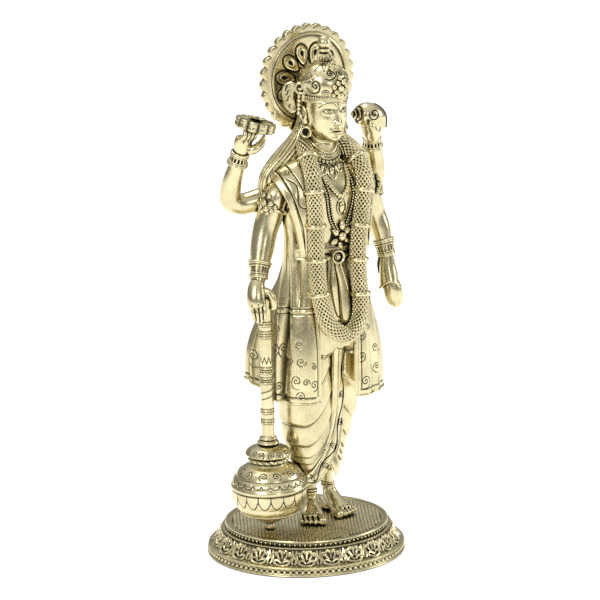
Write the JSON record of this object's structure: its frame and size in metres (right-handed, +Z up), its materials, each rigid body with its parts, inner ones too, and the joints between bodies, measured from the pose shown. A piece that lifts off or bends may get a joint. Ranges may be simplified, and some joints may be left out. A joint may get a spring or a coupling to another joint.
{
  "type": "vishnu figure",
  "caption": "Standing four-armed Vishnu figure in cast brass with mace, conch, lotus and bud, a scalloped halo behind the crown and an oval beaded plinth.",
  "frame": {"origin": "middle of the plinth's flat underside", "axes": "+Z up, the figure faces -Y, its own left hand is on +X"},
  "size_m": [0.1231, 0.1084, 0.305],
  "materials": {
    "plinth": "antique, relief polished over dark recesses",
    "figure": "antique, polished high points over dark recesses",
    "halo": "antique, polished rim over dark recesses",
    "mace": "antique, polished over dark engraved lines"
  },
  "bodies": {
    "root": {"plinth": "plinth", "figure": "figure", "halo": "halo", "mace": "mace"}
  },
  "joints": []
}
